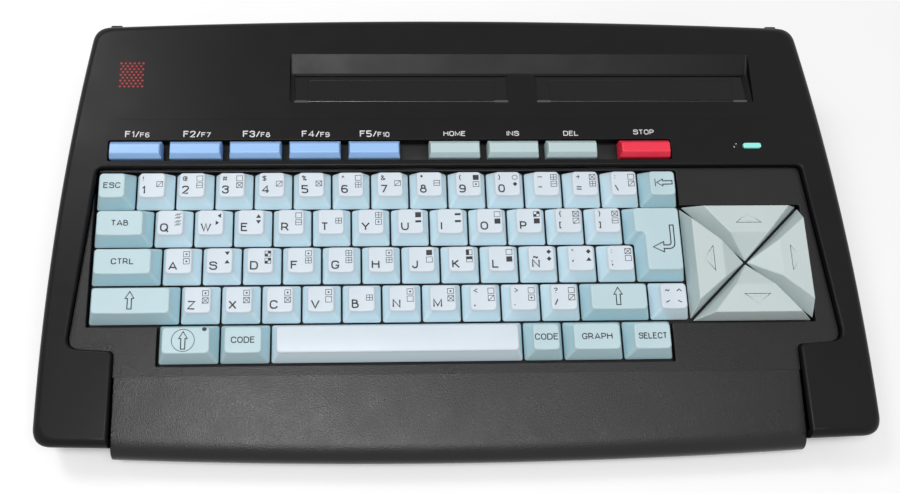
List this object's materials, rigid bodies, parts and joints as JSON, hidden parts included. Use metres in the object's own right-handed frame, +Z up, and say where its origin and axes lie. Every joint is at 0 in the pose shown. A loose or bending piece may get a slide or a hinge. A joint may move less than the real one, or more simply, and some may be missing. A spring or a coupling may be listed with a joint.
{
  "type": "vintage home computer",
  "caption": "Wedge-shaped 1980s home computer: typing keys, function keys, square cursor pad, two sprung cartridge doors and a rear socket panel.",
  "frame": {"origin": "on the table, under the middle of the case's box", "axes": "+X to the right, +Y to the rear, +Z up, as the user sits in front of it"},
  "size_m": [0.3922, 0.2238, 0.0486],
  "materials": {
    "case_smooth_black": "charcoal-black moulded plastic, smooth with a soft sheen",
    "case_grained_black": "charcoal-black moulded plastic with a fine spark grain",
    "inside_black": "plain black moulded plastic",
    "key_white": "pale lavender-white key plastic, fine texture, printed legends",
    "key_grey_green": "pale blue-green grey key plastic, fine texture",
    "key_blue": "light blue key plastic, satin",
    "key_pale_green": "pale grey-green key plastic, satin",
    "key_red": "red key plastic, satin",
    "pad_grey_green": "pale grey-green key plastic with raised outline arrows",
    "rubber_dark": "dark grey rubber",
    "board_green": "green circuit board with black chips",
    "lens_green": "translucent green light bar",
    "plate_steel": "plain zinc-plated steel sheet"
  },
  "bodies": {
    "case": {"top_cover": "case_smooth_black", "keyboard_bezel": "case_grained_black", "power_lens": "lens_green", "key_frame": "key_white", "dome_mat": "rubber_dark", "key_backplate": "plate_steel", "bottom_case": "inside_black", "main_board": "board_green", "power_inlet": "inside_black", "cassette_socket": "inside_black", "video_socket": "inside_black", "printer_port": "inside_black", "joystick_ports": "inside_black", "cartridge_connector_left": "inside_black", "cartridge_connector_right": "inside_black", "foot_front_left": "rubber_dark", "foot_rear_left": "rubber_dark", "foot_front_right": "rubber_dark", "foot_rear_right": "rubber_dark"},
    "key_escape": {"key_escape": "key_grey_green"},
    "key_backspace": {"key_backspace": "key_grey_green"},
    "key_tab": {"key_tab": "key_grey_green"},
    "key_control": {"key_control": "key_grey_green"},
    "key_a": {"key_a": "key_white"},
    "key_s": {"key_s": "key_white"},
    "key_d": {"key_d": "key_white"},
    "key_f": {"key_f": "key_white"},
    "key_g": {"key_g": "key_white"},
    "key_h": {"key_h": "key_white"},
    "key_j": {"key_j": "key_white"},
    "key_k": {"key_k": "key_white"},
    "key_l": {"key_l": "key_white"},
    "key_n_tilde": {"key_n_tilde": "key_white"},
    "key_acute": {"key_acute": "key_white"},
    "key_semicolon": {"key_semicolon": "key_white"},
    "key_shift_left": {"key_shift_left": "key_grey_green"},
    "key_shift_right": {"key_shift_right": "key_grey_green"},
    "key_caps": {"key_caps": "key_grey_green"},
    "key_code_left": {"key_code_left": "key_grey_green"},
    "key_space": {"key_space": "key_white"},
    "key_code_right": {"key_code_right": "key_grey_green"},
    "key_graph": {"key_graph": "key_grey_green"},
    "key_select": {"key_select": "key_grey_green"},
    "key_return": {"key_return": "key_grey_green"},
    "key_f1": {"key_f1": "key_blue"},
    "key_f2": {"key_f2": "key_blue"},
    "key_f3": {"key_f3": "key_blue"},
    "key_f4": {"key_f4": "key_blue"},
    "key_f5": {"key_f5": "key_blue"},
    "key_home": {"key_home": "key_pale_green"},
    "key_insert": {"key_insert": "key_pale_green"},
    "key_delete": {"key_delete": "key_pale_green"},
    "key_stop": {"key_stop": "key_red"},
    "key_cursor_up": {"key_cursor_up": "pad_grey_green"},
    "key_cursor_left": {"key_cursor_left": "pad_grey_green"},
    "key_cursor_down": {"key_cursor_down": "pad_grey_green"},
    "key_cursor_right": {"key_cursor_right": "pad_grey_green"},
    "cartridge_door_left": {"cartridge_door_left": "case_smooth_black"},
    "cartridge_door_right": {"cartridge_door_right": "case_smooth_black"},
    "power_switch": {"power_switch": "inside_black"}
  },
  "joints": [
    {"name": "key_escape_press", "type": "slide", "parent": "case", "child": "key_escape", "axis": [0, 0.1219, -0.9925], "range_m": [0, 0.0035], "stiffness_N_per_m": 100, "springref_m": -0.004},
    {"name": "key_backspace_press", "type": "slide", "parent": "case", "child": "key_backspace", "axis": [0, 0.1219, -0.9925], "range_m": [0, 0.0035], "stiffness_N_per_m": 100, "springref_m": -0.004},
    {"name": "key_tab_press", "type": "slide", "parent": "case", "child": "key_tab", "axis": [0, 0.1219, -0.9925], "range_m": [0, 0.0035], "stiffness_N_per_m": 100, "springref_m": -0.004},
    {"name": "key_control_press", "type": "slide", "parent": "case", "child": "key_control", "axis": [0, 0.1219, -0.9925], "range_m": [0, 0.0035], "stiffness_N_per_m": 100, "springref_m": -0.004},
    {"name": "key_a_press", "type": "slide", "parent": "case", "child": "key_a", "axis": [0, 0.1219, -0.9925], "range_m": [0, 0.0035], "stiffness_N_per_m": 100, "springref_m": -0.004},
    {"name": "key_s_press", "type": "slide", "parent": "case", "child": "key_s", "axis": [0, 0.1219, -0.9925], "range_m": [0, 0.0035], "stiffness_N_per_m": 100, "springref_m": -0.004},
    {"name": "key_d_press", "type": "slide", "parent": "case", "child": "key_d", "axis": [0, 0.1219, -0.9925], "range_m": [0, 0.0035], "stiffness_N_per_m": 100, "springref_m": -0.004},
    {"name": "key_f_press", "type": "slide", "parent": "case", "child": "key_f", "axis": [0, 0.1219, -0.9925], "range_m": [0, 0.0035], "stiffness_N_per_m": 100, "springref_m": -0.004},
    {"name": "key_g_press", "type": "slide", "parent": "case", "child": "key_g", "axis": [0, 0.1219, -0.9925], "range_m": [0, 0.0035], "stiffness_N_per_m": 100, "springref_m": -0.004},
    {"name": "key_h_press", "type": "slide", "parent": "case", "child": "key_h", "axis": [0, 0.1219, -0.9925], "range_m": [0, 0.0035], "stiffness_N_per_m": 100, "springref_m": -0.004},
    {"name": "key_j_press", "type": "slide", "parent": "case", "child": "key_j", "axis": [0, 0.1219, -0.9925], "range_m": [0, 0.0035], "stiffness_N_per_m": 100, "springref_m": -0.004},
    {"name": "key_k_press", "type": "slide", "parent": "case", "child": "key_k", "axis": [0, 0.1219, -0.9925], "range_m": [0, 0.0035], "stiffness_N_per_m": 100, "springref_m": -0.004},
    {"name": "key_l_press", "type": "slide", "parent": "case", "child": "key_l", "axis": [0, 0.1219, -0.9925], "range_m": [0, 0.0035], "stiffness_N_per_m": 100, "springref_m": -0.004},
    {"name": "key_n_tilde_press", "type": "slide", "parent": "case", "child": "key_n_tilde", "axis": [0, 0.1219, -0.9925], "range_m": [0, 0.0035], "stiffness_N_per_m": 100, "springref_m": -0.004},
    {"name": "key_acute_press", "type": "slide", "parent": "case", "child": "key_acute", "axis": [0, 0.1219, -0.9925], "range_m": [0, 0.0035], "stiffness_N_per_m": 100, "springref_m": -0.004},
    {"name": "key_semicolon_press", "type": "slide", "parent": "case", "child": "key_semicolon", "axis": [0, 0.1219, -0.9925], "range_m": [0, 0.0035], "stiffness_N_per_m": 100, "springref_m": -0.004},
    {"name": "key_shift_left_press", "type": "slide", "parent": "case", "child": "key_shift_left", "axis": [0, 0.1219, -0.9925], "range_m": [0, 0.0035], "stiffness_N_per_m": 100, "springref_m": -0.004},
    {"name": "key_shift_right_press", "type": "slide", "parent": "case", "child": "key_shift_right", "axis": [0, 0.1219, -0.9925], "range_m": [0, 0.0035], "stiffness_N_per_m": 100, "springref_m": -0.004},
    {"name": "key_caps_press", "type": "slide", "parent": "case", "child": "key_caps", "axis": [0, 0.1219, -0.9925], "range_m": [0, 0.0035], "stiffness_N_per_m": 100, "springref_m": -0.004},
    {"name": "key_code_left_press", "type": "slide", "parent": "case", "child": "key_code_left", "axis": [0, 0.1219, -0.9925], "range_m": [0, 0.0035], "stiffness_N_per_m": 100, "springref_m": -0.004},
    {"name": "key_space_press", "type": "slide", "parent": "case", "child": "key_space", "axis": [0, 0.1219, -0.9925], "range_m": [0, 0.0035], "stiffness_N_per_m": 100, "springref_m": -0.004},
    {"name": "key_code_right_press", "type": "slide", "parent": "case", "child": "key_code_right", "axis": [0, 0.1219, -0.9925], "range_m": [0, 0.0035], "stiffness_N_per_m": 100, "springref_m": -0.004},
    {"name": "key_graph_press", "type": "slide", "parent": "case", "child": "key_graph", "axis": [0, 0.1219, -0.9925], "range_m": [0, 0.0035], "stiffness_N_per_m": 100, "springref_m": -0.004},
    {"name": "key_select_press", "type": "slide", "parent": "case", "child": "key_select", "axis": [0, 0.1219, -0.9925], "range_m": [0, 0.0035], "stiffness_N_per_m": 100, "springref_m": -0.004},
    {"name": "key_return_press", "type": "slide", "parent": "case", "child": "key_return", "axis": [0, 0.1219, -0.9925], "range_m": [0, 0.0035], "stiffness_N_per_m": 100, "springref_m": -0.004},
    {"name": "key_f1_press", "type": "slide", "parent": "case", "child": "key_f1", "axis": [0, 0.1219, -0.9925], "range_m": [0, 0.0025], "stiffness_N_per_m": 100, "springref_m": -0.004},
    {"name": "key_f2_press", "type": "slide", "parent": "case", "child": "key_f2", "axis": [0, 0.1219, -0.9925], "range_m": [0, 0.0025], "stiffness_N_per_m": 100, "springref_m": -0.004},
    {"name": "key_f3_press", "type": "slide", "parent": "case", "child": "key_f3", "axis": [0, 0.1219, -0.9925], "range_m": [0, 0.0025], "stiffness_N_per_m": 100, "springref_m": -0.004},
    {"name": "key_f4_press", "type": "slide", "parent": "case", "child": "key_f4", "axis": [0, 0.1219, -0.9925], "range_m": [0, 0.0025], "stiffness_N_per_m": 100, "springref_m": -0.004},
    {"name": "key_f5_press", "type": "slide", "parent": "case", "child": "key_f5", "axis": [0, 0.1219, -0.9925], "range_m": [0, 0.0025], "stiffness_N_per_m": 100, "springref_m": -0.004},
    {"name": "key_home_press", "type": "slide", "parent": "case", "child": "key_home", "axis": [0, 0.1219, -0.9925], "range_m": [0, 0.0025], "stiffness_N_per_m": 100, "springref_m": -0.004},
    {"name": "key_insert_press", "type": "slide", "parent": "case", "child": "key_insert", "axis": [0, 0.1219, -0.9925], "range_m": [0, 0.0025], "stiffness_N_per_m": 100, "springref_m": -0.004},
    {"name": "key_delete_press", "type": "slide", "parent": "case", "child": "key_delete", "axis": [0, 0.1219, -0.9925], "range_m": [0, 0.0025], "stiffness_N_per_m": 100, "springref_m": -0.004},
    {"name": "key_stop_press", "type": "slide", "parent": "case", "child": "key_stop", "axis": [0, 0.1219, -0.9925], "range_m": [0, 0.0025], "stiffness_N_per_m": 100, "springref_m": -0.004},
    {"name": "key_cursor_up_press", "type": "slide", "parent": "case", "child": "key_cursor_up", "axis": [0, 0.1219, -0.9925], "range_m": [0, 0.0025], "stiffness_N_per_m": 100, "springref_m": -0.004},
    {"name": "key_cursor_left_press", "type": "slide", "parent": "case", "child": "key_cursor_left", "axis": [0, 0.1219, -0.9925], "range_m": [0, 0.0025], "stiffness_N_per_m": 100, "springref_m": -0.004},
    {"name": "key_cursor_down_press", "type": "slide", "parent": "case", "child": "key_cursor_down", "axis": [0, 0.1219, -0.9925], "range_m": [0, 0.0025], "stiffness_N_per_m": 100, "springref_m": -0.004},
    {"name": "key_cursor_right_press", "type": "slide", "parent": "case", "child": "key_cursor_right", "axis": [0, 0.1219, -0.9925], "range_m": [0, 0.0025], "stiffness_N_per_m": 100, "springref_m": -0.004},
    {"name": "cartridge_door_left_swing", "type": "hinge", "parent": "case", "child": "cartridge_door_left", "pos_m": [-0.025, 0.08472, 0.03767], "axis": [1, 0, 0], "range_deg": [0, 82], "stiffness_Nm_per_rad": 0.004, "springref_deg": -28.65},
    {"name": "cartridge_door_right_swing", "type": "hinge", "parent": "case", "child": "cartridge_door_right", "pos_m": [0.0982, 0.08472, 0.03767], "axis": [1, 0, 0], "range_deg": [0, 82], "stiffness_Nm_per_rad": 0.004, "springref_deg": -28.65},
    {"name": "power_switch_rock", "type": "hinge", "parent": "case", "child": "power_switch", "pos_m": [-0.096, 0.1004, 0.0208], "axis": [-1, 0, 0], "range_deg": [0, 18]}
  ]
}
